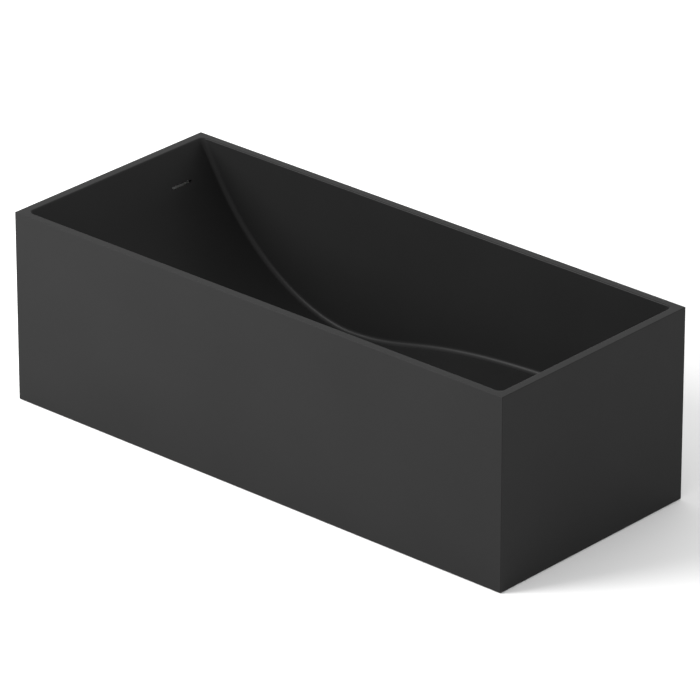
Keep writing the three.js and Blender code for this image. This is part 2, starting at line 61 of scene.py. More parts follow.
GAP = 0.3 * MM
RECLINE_ANGLE = math.radians(57.7)
RECLINE_STRAIGHT = 130 * MM
RECLINE_PULL = 320 * MM
HIP_DEPTH = 419 * MM
HIP_PULL_HEAD = 70 * MM
HIP_PULL_FOOT = 240 * MM
FOOT_DEPTH = 328 * MM
FOOT_PULL = 640 * MM
FOOT_ANGLE = math.radians(63)
FOOT_BEND = 90 * MM
COVE_RADIUS = 15 * MM

HEAD_TOP_X = -HALF_LENGTH + SHEET + GAP + SHEET / math.sin(RECLINE_ANGLE)
FOOT_TOP_X = HALF_LENGTH - SHEET - GAP - SHEET / math.sin(FOOT_ANGLE)
HIP_Z = RIM_Z - HIP_DEPTH

# ---- Edges, rounded by sanding ----

OUTER_ARRIS = 1.6 * MM
INNER_ARRIS_REACH = 3.5 * MM  # from the sharp corner to where the round starts
BAND = 12 * MM  # strip below the rim that carries the inner arris

# ---- Openings in the bed ----

# The slot as it looks, square to the recline. The CAD's is level, taller and 5 mm higher up the slope.
SLOT_WIDTH = 76 * MM
SLOT_HEIGHT = 6 * MM
SLOT_DEPTH = 81.5 * MM
SLOT_Y = 201 * MM
SLOT_CUTTER_REACH = 20 * MM
RECESS_RADIUS = 37 * MM
RECESS_DEPTH = 4 * MM
WASTE_HOLE_RADIUS = 24.5 * MM


# ---- Mesh making ----

MERGE_DISTANCE = 1e-6
SHARP_ANGLE = math.radians(32)


class MeshMaker:
    """Collects points and the faces between them, then makes one object."""

    def __init__(self):
        self.vertices = []
        self.faces = []

    def points(self, array):
        """Adds an array of points, (..., 3), and returns their numbers in the same layout."""
        array = np.asarray(array, dtype=float)
        start = len(self.vertices)
        self.vertices.extend(array.reshape(-1, 3).tolist())
        return np.arange(start, len(self.vertices)).reshape(array.shape[:-1])

    def face(self, corners):
        """Adds a face, leaving out corners that repeat."""
        kept = [c for i, c in enumerate(corners) if c != corners[i - 1]]
        if len(set(kept)) >= 3:
            self.faces.append([int(c) for c in kept])

    def strip(self, one, two, closed=False):
        """Quads between two rows of equally many points."""
        count = len(one)
        for i in range(count if closed else count - 1):
            j = (i + 1) % count
            self.face([one[i], one[j], two[j], two[i]])

    def rows(self, grid, closed=False):
        """Quads over a whole grid of points."""
        for one, two in zip(grid[:-1], grid[1:]):
            self.strip(one, two, closed)

    def make(self, name, material, body="tub"):
        """The object, with repeated points merged and its faces turned out, riding on its body."""
        mesh = bpy.data.meshes.new(name)
        mesh.from_pydata(self.vertices, [], self.faces)
        obj = bpy.data.objects.new(name, mesh)
        bpy.context.scene.collection.objects.link(obj)
        bm = bmesh.new()
        bm.from_mesh(mesh)
        bmesh.ops.remove_doubles(bm, verts=bm.verts, dist=MERGE_DISTANCE)
        bmesh.ops.recalc_face_normals(bm, faces=bm.faces)
        bm.to_mesh(mesh)
        bm.free()
        mesh.materials.append(material)
        if body:
            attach(obj, body)
        return obj


def smooth(obj):
    """Smooth faces with sharp edges over the angle, and normals that keep the flat faces flat."""
    mesh = obj.data
    mesh.shade_smooth()
    mesh.set_sharp_from_angle(angle=SHARP_ANGLE)
    weighted = obj.modifiers.new("normals", "WEIGHTED_NORMAL")
    weighted.keep_sharp = True
    return obj


def wrap(name, rows, material, body="tub", ring=False):
    """One piece from closed rows of points. In a ring the last row meets the first."""
    maker = MeshMaker()
    grid = maker.points(rows)
    maker.rows(grid, closed=True)
    if ring:
        maker.strip(grid[-1], grid[0], closed=True)
    return maker.make(name, material, body)


def cut(obj, cutter):
    """Takes the cutter's solid out of obj."""
    boolean = obj.modifiers.new("cut", "BOOLEAN")
    boolean.operation = "DIFFERENCE"
    boolean.solver = "EXACT"
    boolean.object = cutter
    bpy.context.view_layer.update()
    evaluated = obj.evaluated_get(bpy.context.evaluated_depsgraph_get())
    mesh = bpy.data.meshes.new_from_object(evaluated)
    obj.modifiers.clear()
    old = obj.data
    obj.data = mesh
    mesh.name = old.name
    bpy.data.meshes.remove(old)
    bpy.data.objects.remove(cutter)


# ---- Camera ----

VIEW_AZIMUTH = math.radians(41.9)  # from the front, towards the foot end
VIEW_ELEVATION = math.radians(25.2)
VIEW_DISTANCE = 16.947
AIM_RIGHT = 0.0134  # of the middle of the hem, across the view
AIM_UP = 0.2581
SENSOR_WIDTH = 36  # millimetres
FOCAL_LENGTH = 330.3  # millimetres


def add_camera():
    """A long lens a long way off, in front of the foot end and above the rim."""
    cos_e = math.cos(VIEW_ELEVATION)
    back = Vector((
        math.sin(VIEW_AZIMUTH) * cos_e,
        -math.cos(VIEW_AZIMUTH) * cos_e,
        math.sin(VIEW_ELEVATION),
    ))
    right = Vector((math.cos(VIEW_AZIMUTH), math.sin(VIEW_AZIMUTH), 0))
    up = back.cross(right)
    data = bpy.data.cameras.new("camera")
    data.sensor_width = SENSOR_WIDTH
    data.lens = FOCAL_LENGTH
    data.clip_end = 100
    camera = bpy.data.objects.new("camera", data)
    bpy.context.scene.collection.objects.link(camera)
    aim = Vector((0, 0, HEM_Z)) + AIM_RIGHT * right + AIM_UP * up
    camera.location = aim + VIEW_DISTANCE * back
    camera.rotation_mode = "QUATERNION"
    camera.rotation_quaternion = (-back).to_track_quat("-Z", "Y")
    bpy.context.scene.camera = camera


# ---- Materials ----

class Nodes:
    """A material's node tree, with short calls for the nodes used here."""

    def __init__(self, name):
        self.material = bpy.data.materials.new(name)
        self.material.use_nodes = True
        self.tree = self.material.node_tree
        self.shader = self.tree.nodes["Principled BSDF"]
        self.place = self.tree.nodes.new("ShaderNodeTexCoord").outputs["Object"]

    def noise(self, scale, detail=4.0, stretch=None):
        node = self.tree.nodes.new("ShaderNodeTexNoise")
        node.inputs["Scale"].default_value = scale
        node.inputs["Detail"].default_value = detail
        place = self.place
        if stretch:
            mapping = self.tree.nodes.new("ShaderNodeMapping")
            mapping.inputs["Scale"].default_value = stretch
            self.tree.links.new(place, mapping.inputs["Vector"])
            place = mapping.outputs["Vector"]
        self.tree.links.new(place, node.inputs["Vector"])
        return node.outputs["Fac"]

    def between(self, factor, low, high, start=0.3, end=0.7):
        """Maps a factor from start..end to low..high, two numbers."""
        node = self.tree.nodes.new("ShaderNodeMapRange")
        node.inputs["From Min"].default_value = start
        node.inputs["From Max"].default_value = end
        node.inputs["To Min"].default_value = low
        node.inputs["To Max"].default_value = high
        self.tree.links.new(factor, node.inputs["Value"])
        return node.outputs["Result"]

    def colours(self, factor, stops):
        """Maps a factor to colours, given as (position, (r, g, b))."""
        ramp = self.tree.nodes.new("ShaderNodeValToRGB")
        elements = ramp.color_ramp.elements
        while len(elements) < len(stops):
            elements.new(0.5)
        for element, (position, colour) in zip(elements, stops):
            element.position = position
            element.color = (*colour, 1)
        self.tree.links.new(factor, ramp.inputs["Fac"])
        return ramp.outputs["Color"]

    def into(self, output, socket):
        self.tree.links.new(output, self.shader.inputs[socket])

    def bump(self, height, depth, strength=1.0):
        node = self.tree.nodes.new("ShaderNodeBump")
        node.inputs["Strength"].default_value = strength
        node.inputs["Distance"].default_value = depth
        self.tree.links.new(height, node.inputs["Height"])
        self.tree.links.new(node.outputs["Normal"], self.shader.inputs["Normal"])


def grey(value):
    return (value, value, value)


def solid_surface():
    """Matt black mineral-filled resin: faint clouding, and the fine tooth that sanding leaves."""
    nodes = Nodes("solid_surface")
    cloud = nodes.noise(3.0, 3.0)
    nodes.into(nodes.colours(cloud, [(0.3, grey(0.0116)), (0.7, grey(0.0130))]), "Base Color")
    nodes.into(nodes.between(nodes.noise(14.0, 6.0), 0.375, 0.395), "Roughness")
    nodes.shader.inputs["IOR"].default_value = 1.45
    nodes.shader.inputs["Specular IOR Level"].default_value = 0.10
    nodes.bump(nodes.noise(900.0, 2.0), 0.00002, 0.5)
    return nodes.material


def rubber():
    """Black moulded rubber with a dusty bloom."""
    nodes = Nodes("rubber_look")
    cloud = nodes.noise(60.0, 5.0)
    nodes.into(nodes.colours(cloud, [(0.3, grey(0.016)), (0.7, grey(0.028))]), "Base Color")
    nodes.into(nodes.between(nodes.noise(220.0, 4.0), 0.72, 0.92), "Roughness")
    nodes.bump(nodes.noise(1800.0, 3.0), 0.00005, 0.5)
    return nodes.material


def black_coat():
    """Matt black coating on brass: a fine even tooth with faint handling marks."""
    nodes = Nodes("black_coat_look")
    cloud = nodes.noise(40.0, 4.0)
    nodes.into(nodes.colours(cloud, [(0.3, grey(0.011)), (0.7, grey(0.015))]), "Base Color")
    nodes.into(nodes.between(nodes.noise(90.0, 6.0), 0.40, 0.50), "Roughness")
    nodes.shader.inputs["Specular IOR Level"].default_value = 0.35
    nodes.bump(nodes.noise(2600.0, 2.0), 0.00002, 0.5)
    return nodes.material


def brass():
    """Turned brass, bright but for fine tool rings and a little tarnish."""
    nodes = Nodes("brass_look")
    tarnish = nodes.noise(130.0, 5.0)
    nodes.into(nodes.colours(tarnish, [(0.3, (0.60, 0.42, 0.17)), (0.7, (0.74, 0.57, 0.27))]), "Base Color")
    nodes.into(nodes.between(nodes.noise(900.0, 2.0, (0.05, 0.05, 1.0)), 0.20, 0.36), "Roughness")
    nodes.shader.inputs["Metallic"].default_value = 1.0
    nodes.bump(nodes.noise(2400.0, 2.0, (0.02, 0.02, 1.0)), 0.00002, 0.4)
    return nodes.material


def zinc_steel():
    """Zinc-plated steel: cool grey with blotches of a paler and a yellower passivation."""
    nodes = Nodes("zinc_look")
    blotch = nodes.noise(160.0, 6.0)
    nodes.into(nodes.colours(blotch, [
        (0.30, (0.50, 0.52, 0.54)), (0.55, (0.62, 0.63, 0.62)), (0.75, (0.66, 0.63, 0.52)),
    ]), "Base Color")
    nodes.into(nodes.between(nodes.noise(500.0, 5.0), 0.28, 0.46), "Roughness")
    nodes.shader.inputs["Metallic"].default_value = 1.0
    nodes.bump(nodes.noise(1500.0, 3.0), 0.00003, 0.4)
    return nodes.material


def frame_paint():
    """Dark grey powder coat with its orange peel."""
    nodes = Nodes("frame_paint")
    cloud = nodes.noise(25.0, 5.0)
    nodes.into(nodes.colours(cloud, [(0.3, grey(0.055)), (0.7, grey(0.072))]), "Base Color")
    nodes.into(nodes.between(nodes.noise(70.0, 4.0), 0.42, 0.56), "Roughness")
    nodes.bump(nodes.noise(700.0, 2.0), 0.00008, 0.6)
    return nodes.material


def white_plastic():
    """Moulded white plastic, barely clouded, with a faint spark-eroded texture."""
    nodes = Nodes("white_plastic_look")
    cloud = nodes.noise(30.0, 4.0)
    nodes.into(nodes.colours(cloud, [(0.3, (0.70, 0.70, 0.68)), (0.7, (0.78, 0.78, 0.77))]), "Base Color")
    nodes.into(nodes.between(nodes.noise(200.0, 4.0), 0.34, 0.46), "Roughness")
    nodes.bump(nodes.noise(3000.0, 2.0), 0.00002, 0.5)
    return nodes.material


def grey_plastic():
    """Grey polypropylene with a waxy, lightly scuffed skin."""
    nodes = Nodes("grey_plastic_look")
    cloud = nodes.noise(45.0, 5.0)
    nodes.into(nodes.colours(cloud, [(0.3, (0.24, 0.25, 0.26)), (0.7, (0.31, 0.32, 0.33))]), "Base Color")
    nodes.into(nodes.between(nodes.noise(260.0, 5.0), 0.42, 0.60), "Roughness")
    nodes.bump(nodes.noise(1400.0, 3.0), 0.00003, 0.5)
    return nodes.material


def plywood():
    """Birch plywood: veneer grain on the faces, dark and light plies along every edge."""
    nodes = Nodes("plywood_look")
    tree = nodes.tree
    grain = nodes.noise(26.0, 8.0, (1.0, 0.6, 7.0))
    face = nodes.colours(grain, [
        (0.30, (0.40, 0.25, 0.12)), (0.50, (0.60, 0.42, 0.23)), (0.72, (0.70, 0.53, 0.32)),
    ])
    plies = tree.nodes.new("ShaderNodeTexWave")
    plies.bands_direction = "X"
    plies.wave_profile = "SAW"
    plies.inputs["Scale"].default_value = 105.0
    plies.inputs["Distortion"].default_value = 0.6
    plies.inputs["Detail Scale"].default_value = 40.0
    tree.links.new(nodes.place, plies.inputs["Vector"])
    edge = nodes.colours(plies.outputs["Fac"], [
        (0.0, (0.62, 0.46, 0.27)), (0.46, (0.58, 0.41, 0.22)),
        (0.54, (0.30, 0.18, 0.09)), (0.98, (0.36, 0.22, 0.11)),
    ])
    facing = tree.nodes.new("ShaderNodeSeparateXYZ")
    geometry = tree.nodes.new("ShaderNodeNewGeometry")
    tree.links.new(geometry.outputs["Normal"], facing.inputs["Vector"])
    size = tree.nodes.new("ShaderNodeMath")
    size.operation = "ABSOLUTE"
    tree.links.new(facing.outputs["X"], size.inputs[0])
    mix = tree.nodes.new("ShaderNodeMix")
    mix.data_type = "RGBA"
    tree.links.new(nodes.between(size.outputs["Value"], 0.0, 1.0, 0.45, 0.55), mix.inputs["Factor"])
    tree.links.new(edge, mix.inputs["A"])
    tree.links.new(face, mix.inputs["B"])
    nodes.into(mix.outputs["Result"], "Base Color")
    nodes.into(nodes.between(nodes.noise(300.0, 4.0), 0.62, 0.82), "Roughness")
    nodes.bump(nodes.noise(240.0, 6.0, (1.0, 0.3, 6.0)), 0.0001, 0.4)
    return nodes.material


# ---- The bed's profile ----

def line(start, end, steps):
    """Points from start to end, and the way along at each."""
    t = np.linspace(0, 1, steps + 1)[:, None]
    points = start + (end - start) * t
    along = np.repeat([end - start], steps + 1, axis=0)
    return points, along


def bezier(a, b, c, d, steps):
    """Points on a cubic curve, and the way along at each."""
    t = np.linspace(0, 1, steps + 1)[:, None]
    points = a * (1 - t) ** 3 + 3 * b * t * (1 - t) ** 2 + 3 * c * t ** 2 * (1 - t) + d * t ** 3
    along = (b - a) * (1 - t) ** 2 + 2 * (c - b) * t * (1 - t) + (d - c) * t ** 2
    return points, along


def bed_stations():
    """Points [x, z] along the bed's top from below the head band to below the foot band, with normals."""
    down = np.array([math.cos(RECLINE_ANGLE), -math.sin(RECLINE_ANGLE)])
    rise = np.array([math.cos(FOOT_ANGLE), math.sin(FOOT_ANGLE)])
    level = np.array([1.0, 0.0])
    head = np.array([HEAD_TOP_X, RIM_Z])
    foot = np.array([FOOT_TOP_X, RIM_Z])
    band_end = 3 * BAND

    recline_end = head + down * RECLINE_STRAIGHT
    hip = np.array([HIP_X, HIP_Z])
    corner = foot - rise * FOOT_DEPTH / math.sin(FOOT_ANGLE)
    setback = FOOT_BEND * math.tan(FOOT_ANGLE / 2)
    bend_start = corner - level * setback
    bend_end = corner + rise * setback
    bend_pull = 4 / 3 * math.tan(FOOT_ANGLE / 4) * FOOT_BEND

    pieces = [
        line(head + down * band_end, recline_end, 3),
        bezier(recline_end, recline_end + down * RECLINE_PULL, hip - level * HIP_PULL_HEAD, hip, 64),
        bezier(hip, hip + level * HIP_PULL_FOOT, bend_start - level * FOOT_PULL, bend_start, 64),
        bezier(bend_start, bend_start + level * bend_pull, bend_end - rise * bend_pull, bend_end, 20),
        line(bend_end, foot - rise * band_end, 5),
    ]
    points = np.concatenate([p if i == 0 else p[1:] for i, (p, _) in enumerate(pieces)])
    along = np.concatenate([d if i == 0 else d[1:] for i, (_, d) in enumerate(pieces)])
    along /= np.linalg.norm(along, axis=1)[:, None]
    normals = np.stack([-along[:, 1], along[:, 0]], axis=1)
    return points, normals


def across():
    """Front to rear: y, height above the bed, and how far the face has turned to the side."""
    turn = np.linspace(0, math.pi / 2, 11)
    cove_y = LINER_Y - COVE_RADIUS + COVE_RADIUS * np.sin(turn)
    cove_h = COVE_RADIUS - COVE_RADIUS * np.cos(turn)
    flat_y = np.linspace(-cove_y[0], cove_y[0], 25)[1:-1]
    y = np.concatenate([-cove_y[::-1], flat_y, cove_y])
    h = np.concatenate([cove_h[::-1], 0 * flat_y, cove_h])
    side = np.concatenate([-turn[::-1], 0 * flat_y, turn])
    return y, h, side


# ---- Basin: liners, bed and coves, glued and sanded to one surface ----

def rim_ends(height, z):
    """x of the head and foot surfaces at level z, for a point at that height above the bed."""
    head = HEAD_TOP_X + (RIM_Z - z) / math.tan(RECLINE_ANGLE) + height / math.sin(RECLINE_ANGLE)
    foot = FOOT_TOP_X - (RIM_Z - z) / math.tan(FOOT_ANGLE) - height / math.sin(FOOT_ANGLE)
    return head, foot


def loop_of(head, rear, foot, front):
    """One closed row from the four sides of a grid, each given without the corners of the next."""
    return np.concatenate([head, rear[1:-1], foot[::-1], front[1:-1][::-1]])


def shell_grid(maker, y, heights, points, normals):
    """Bed grid from band to band with upright walls beside it. Returns the loop of points at the band."""
    band_z = RIM_Z - BAND
    head_x, foot_x = rim_ends(heights, band_z)
    first = np.stack([head_x, y, np.full(len(y), band_z)], axis=-1)
    last = np.stack([foot_x, y, np.full(len(y), band_z)], axis=-1)
    middle = points[:, None, :] + heights[None, :, None] * normals[:, None, :]
    sides = np.broadcast_to(y, middle.shape[:2])
    middle = np.stack([middle[..., 0], sides, middle[..., 1]], axis=-1)
    grid = maker.points(np.concatenate([[first], middle, [last]]))
    maker.rows(grid)

    tops = []
    for column in (0, -1):
        bottoms = np.array([maker.vertices[i] for i in grid[:, column]])
        inner = bottoms[1:-1].copy()
        inner[:, 2] = band_z
        top = np.concatenate([[grid[0, column]], maker.points(inner), [grid[-1, column]]])
        maker.strip(grid[:, column], top)
        tops.append(top)
    front, rear = tops
    return loop_of(grid[0], rear, grid[-1], front)


def unit(vectors):
    return vectors / np.linalg.norm(vectors, axis=-1, keepdims=True)


def arris_rows(corner, normals, steps=8):
    """Rows of points that round the rim's inner edge, from the flat top to the face with those normals."""
    tangent = unit(np.roll(corner, -1, axis=0) - np.roll(corner, 1, axis=0))
    outward = np.cross(tangent, [0, 0, 1.0])
    outward *= np.sign(np.sum(outward * corner, axis=1))[:, None]
    inward_down = unit(np.cross(normals, tangent))
    inward_down *= -np.sign(inward_down[:, 2])[:, None]
    opening = np.arccos(np.clip(np.sum(outward * inward_down, axis=1), -1, 1))
    radius = INNER_ARRIS_REACH * np.tan(opening / 2)
    centre = corner + unit(outward + inward_down) * (radius / np.sin(opening / 2))[:, None]
    start = corner + outward * INNER_ARRIS_REACH - centre
    end = corner + inward_down * INNER_ARRIS_REACH - centre
    sweep = math.pi - opening
    rows = []
    for t in np.linspace(0, 1, steps + 1):
        a = np.sin((1 - t) * sweep) / np.sin(sweep)
        b = np.sin(t * sweep) / np.sin(sweep)
        rows.append(centre + start * a[:, None] + end * b[:, None])
    return rows


def rim_corner(band, heights, side):
    """The rim's sharp inner corner above each point of the band, and the way the wall there faces."""
    head_x, foot_x = rim_ends(heights, RIM_Z)
    band_head, band_foot = rim_ends(heights, RIM_Z - BAND)
    head = slice(0, len(heights))
    foot = slice(len(band) // 2, len(band) // 2 + len(heights))
    spread = (foot_x[0] - head_x[0]) / (band_foot[0] - band_head[0])
    corner = band.copy()
    corner[:, 2] = RIM_Z
    corner[:, 0] = head_x[0] + (band[:, 0] - band_head[0]) * spread
    corner[head, 0] = head_x
    corner[foot, 0] = foot_x[::-1]

    faces = np.zeros_like(corner)
    faces[:, 1] = -np.sign(corner[:, 1])
    for part, turn, sign, angle in (
        (head, side, 1, RECLINE_ANGLE), (foot, side[::-1], -1, FOOT_ANGLE),
    ):
        faces[part, 0] = sign * np.cos(turn) * math.sin(angle)
        faces[part, 1] = -np.sin(turn)
        faces[part, 2] = np.cos(turn) * math.cos(angle)
    return corner, faces


def rim_edge(outer, columns):
    """The rim's outer edge, straight up from the outside of the shell and out to the casing."""
    half = HALF_LENGTH - SHEET
    foot_start = len(outer) // 2
    edge = outer.copy()
    edge[:, 2] = RIM_Z
    edge[:, 0] = np.clip(edge[:, 0] * half / abs(edge[0, 0]), -half, half)
    edge[:columns, 0] = -half
    edge[foot_start:foot_start + columns, 0] = half
    return edge


def make_basin(material):
    points, normals = bed_stations()
    y, heights, side = across()
    maker = MeshMaker()
    inner_loop = shell_grid(maker, y, heights, points, normals)
    corner, faces = rim_corner(np.array([maker.vertices[i] for i in inner_loop]), heights, side)
    arris = [maker.points(row) for row in arris_rows(corner, faces)]

    # The outside of the shell is the same grid, a sheet's thickness out.
    outer_y = y * (LINER_Y + SHEET) / LINER_Y
    outer_loop = shell_grid(maker, outer_y, 0 * heights - SHEET, points, normals)
    edge_loop = maker.points(rim_edge(np.array([maker.vertices[i] for i in outer_loop]), len(y)))

    rings = [outer_loop, edge_loop, *arris, inner_loop]
    for one, two in zip(rings[:-1], rings[1:]):
        maker.strip(one, two, closed=True)
    basin = maker.make("basin", material)
    cut(basin, slot_cutter(material))
    cut(basin, waste_cutter(material))
    smooth(basin)
    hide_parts("front_liner", "rear_liner", "wave_bed", "front_cove", "rear_cove")


def slot_cutter(material):
    """Prism with rounded ends that crosses the recline squarely at the overflow."""
    radius = SLOT_HEIGHT / 2
    reach = SLOT_WIDTH / 2 - radius
    turn = np.linspace(-math.pi / 2, math.pi / 2, 13)
    right = np.stack([reach + radius * np.cos(turn), radius * np.sin(turn)], axis=1)
    outline = np.concatenate([right, -right])
    cos_r, sin_r = math.cos(RECLINE_ANGLE), math.sin(RECLINE_ANGLE)
    centre = (HEAD_TOP_X + SLOT_DEPTH / math.tan(RECLINE_ANGLE), RIM_Z - SLOT_DEPTH)
    maker = MeshMaker()
    ends = []
    for depth in (-SLOT_CUTTER_REACH, SLOT_CUTTER_REACH):
        x = centre[0] + sin_r * depth
        z = centre[1] + cos_r * depth
        ends.append(maker.points([(x - b * cos_r, SLOT_Y + a, z + b * sin_r) for a, b in outline]))
    maker.strip(ends[0], ends[1], closed=True)
    for end in ends:
        maker.face(end)
    return maker.make("slot_cutter", material)


def waste_cutter(material):
    """Stepped round hole for the waste flange."""
    floor = HIP_Z - RECESS_DEPTH
    outline = [
        (0, HIP_Z + 30 * MM), (RECESS_RADIUS, HIP_Z + 30 * MM), (RECESS_RADIUS, floor),
        (WASTE_HOLE_RADIUS, floor), (WASTE_HOLE_RADIUS, HIP_Z - 3 * SHEET), (0, HIP_Z - 3 * SHEET),
    ]
    return lathe("waste_cutter", outline, material, place=(HIP_X, 0, 0), sides=96)


# ---- Casing: four mitred panels with rounded edges ----

def casing_outline():
    """Section of a panel: (distance in from the outer face, z), closed."""
    r = OUTER_ARRIS
    turn = np.linspace(0, math.pi / 2, 6)
    low = [(r - r * math.sin(t), HEM_Z + r - r * math.cos(t)) for t in turn]
    high = [(r - r * math.cos(t), RIM_Z - r + r * math.sin(t)) for t in turn]
    return low + high + [(SHEET, RIM_Z), (SHEET, HEM_Z)]


def make_panel(name, half_length, half_depth, quarter_turns, material):
    """A board whose ends are mitred and whose upright corners are half of a rounded arris."""
    r = OUTER_ARRIS
    turns = np.linspace(math.pi / 4, 0, 5)
    stations = []
    for side, ordered in ((-1, turns), (1, turns[::-1])):
        for turn in ordered:
            station = []
            for inset, z in casing_outline():
                aside, ahead = (math.sin(turn), math.cos(turn)) if inset < r else (1, 1)
                x = half_length - r + (r - inset) * aside
                y = half_depth - r + (r - inset) * ahead
                station.append((side * x, -y, z))
            stations.append(station)
    x, y, z = np.moveaxis(np.array(stations), -1, 0)
    angle = quarter_turns * math.pi / 2
    cos_a, sin_a = math.cos(angle), math.sin(angle)
    maker = MeshMaker()
    grid = maker.points(np.stack([x * cos_a - y * sin_a, x * sin_a + y * cos_a, z], axis=-1))
    maker.rows(grid, closed=True)
    maker.face(grid[0])
    maker.face(grid[-1])
    panel = smooth(maker.make(name + "_board", material))
    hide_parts(name)


def make_casing(material):
    make_panel("front_panel", HALF_LENGTH, HALF_WIDTH, 0, material)
    make_panel("foot_panel", HALF_WIDTH, HALF_LENGTH, 1, material)
    make_panel("rear_panel", HALF_LENGTH, HALF_WIDTH, 2, material)
    make_panel("head_panel", HALF_WIDTH, HALF_LENGTH, 3, material)


# ---- Shapes shared by the fittings ----

def rounded(corners, radius, steps=3):
    """A closed outline with its corners rounded. A corner's third number is a radius of its own."""
    points = []
    for i, corner in enumerate(corners):
        here = np.array(corner[:2], dtype=float)
        own = corner[2] if len(corner) > 2 else radius
        if own == 0:
            points.append(here)
            continue
        before = np.array(corners[i - 1][:2]) - here
        after = np.array(corners[(i + 1) % len(corners)][:2]) - here
        lengths = np.linalg.norm(before), np.linalg.norm(after)
        before, after = before / lengths[0], after / lengths[1]
        half_angle = math.acos(np.clip(before @ after, -1, 1)) / 2
        reach = min(own / math.tan(half_angle), 0.45 * min(lengths))
        for t in np.linspace(0, 1, steps + 1):
            points.append(here + before * reach * (1 - t) ** 2 + after * reach * t ** 2)
    return points


def dressed(obj, slot, *nodes):
    """Smooths a piece and lets it stand for CAD nodes, which it hides. The slot is not used."""
    smooth(obj)
    if nodes:
        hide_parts(*nodes)


def lathe(name, outline, material, body="tub", place=(0, 0, 0), axis="z", sides=64, flutes=None):
    """Turned piece from an outline of [radius, height]. Flutes are (count, depth, from which radius)."""
    angles = np.linspace(0, 2 * math.pi, sides, endpoint=False)
    rows = []
    for radius, height in outline:
        reach = np.full(sides, float(radius))
        if flutes and radius >= flutes[2]:
            reach -= flutes[1] * (0.5 - 0.5 * np.cos(flutes[0] * angles))
        row = [reach * np.cos(angles), reach * np.sin(angles), np.full(sides, height)]
        rows.append(np.stack(row, axis=-1))
    turned = np.roll(np.array(rows), {"z": 0, "x": 1, "y": 2}[axis], axis=-1)
    hollow = outline[0][0] > 0 or outline[-1][0] > 0
    return wrap(name, turned + np.array(place), material, body, ring=hollow)


def in_mm(corners):
    """Corners written in millimetres, in metres."""
    return [tuple(value * MM for value in corner) for corner in corners]


def ring_outline(inner, outer, low, high, radius=0.4):
    """Section of a flat ring with rounded edges, from millimetres."""
    corners = [(inner, low), (outer, low), (outer, high), (inner, high)]
    return rounded(in_mm(corners), radius * MM)


def threaded(name, radius, depth, pitch, low, high, material, body, place):
    """Rod with a helical thread and chamfered ends, upright."""
    sides = 24
    heights = np.linspace(low, high, int((high - low) / pitch * 6) + 1)[:, None]
    angles = np.linspace(0, 2 * math.pi, sides, endpoint=False)[None, :]
    phase = (heights / pitch - angles / (2 * math.pi)) % 1
    reach = radius - depth * np.abs(2 * phase - 1)
    to_end = np.minimum(heights - low, high - heights)
    reach = np.minimum(reach, radius - depth + to_end)
    rows = np.stack([reach * np.cos(angles), reach * np.sin(angles), heights + 0 * angles], axis=-1)
    ends = rows[[0, -1]] * [0, 0, 1]
    return wrap(name, np.concatenate([ends[:1], rows, ends[1:]]) + np.array(place), material, body)


def hexagon(name, flats, hole, low, high, material, body="tub", place=(0, 0, 0)):
    """Hexagon across those flats with chamfered corners, and a countersunk hole if it is a nut."""
    sides = 48
    angles = np.linspace(0, 2 * math.pi, sides, endpoint=False)
    apothem = flats / 2
    six = apothem / np.cos((angles + math.pi / 6) % (math.pi / 3) - math.pi / 6)
    chamfer = 1.4 * MM
    corner = six.max()
    rows = []
    for share in (0, 0.3, 0.6, 1):
        rows.append((np.minimum(six, apothem + (corner - apothem) * share), low + chamfer * share))
    rows += [(reach, low + high - height) for reach, height in rows[::-1]]
    sink = 0.8 * MM
    bore = [(0, high), (0, low)]
    if hole:
        bore = [(hole + sink, high), (hole, high - sink), (hole, low + sink), (hole + sink, low)]
    rows += [(np.full(sides, reach), height) for reach, height in bore]
    cos, sin = np.cos(angles), np.sin(angles)
    points = [
        np.stack([reach * cos, reach * sin, np.full(sides, height)], axis=-1) for reach, height in rows
    ]
    return wrap(name, np.array(points) + np.array(place), material, body, ring=True)


def sweep(name, path, outer, inner, sides, material, body="tub"):
    """Tube along a path, with an outer radius for each point of it."""
    path = np.array(path)
    tangents = unit(np.gradient(path, axis=0))
    side = unit(np.cross(tangents[0], [0.3, 0.5, 0.8]))
    angles = np.linspace(0, 2 * math.pi, sides, endpoint=False)
    outside, inside = [], []
    for point, tangent, radius in zip(path, tangents, outer):
        side = unit(side - tangent * (side @ tangent))
        other = np.cross(tangent, side)
        circle = np.cos(angles)[:, None] * side + np.sin(angles)[:, None] * other
        outside.append(point + circle * radius)
        inside.append(point + circle * inner)
    return wrap(name, np.array(outside + inside[::-1]), material, body, ring=True)


def block(name, size, place, material, bevel, body="tub", turn=None):
    """Bevelled block of that size, centred on its place and turned by a matrix."""
    mesh = bpy.data.meshes.new(name)
    bm = bmesh.new()
    bmesh.ops.create_cube(bm, size=1)
    bmesh.ops.scale(bm, vec=size, verts=bm.verts)
    bmesh.ops.bevel(bm, geom=bm.edges[:], offset=bevel, segments=3, profile=0.5, affect="EDGES")
    matrix = Matrix.Translation(place)
    if turn:
        matrix = matrix @ turn
    bmesh.ops.transform(bm, matrix=matrix, verts=bm.verts)
    bm.to_mesh(mesh)
    bm.free()
    obj = bpy.data.objects.new(name, mesh)
    bpy.context.scene.collection.objects.link(obj)
    mesh.materials.append(material)
    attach(obj, body)
    return obj


def centre_of(node):
    low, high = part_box(node)
    return (low + high) / 2


# ---- Steel frame ----

TUBE_WALL = 2 * MM
TUBE_CORNER = 3 * MM
TUBE_INNER_CORNER = 1.2 * MM
BEAD_RADIUS = 1.9 * MM
BEAD_RIPPLE = 0.35 * MM
BEAD_STEP = 1.2 * MM
NUT_BORE = 6.3 * MM
WELD_NUT_FLATS = 19 * MM
WELD_NUT_LOW = 2 * MM  # above the underside of the rail
WELD_NUT_HIGH = 14 * MM


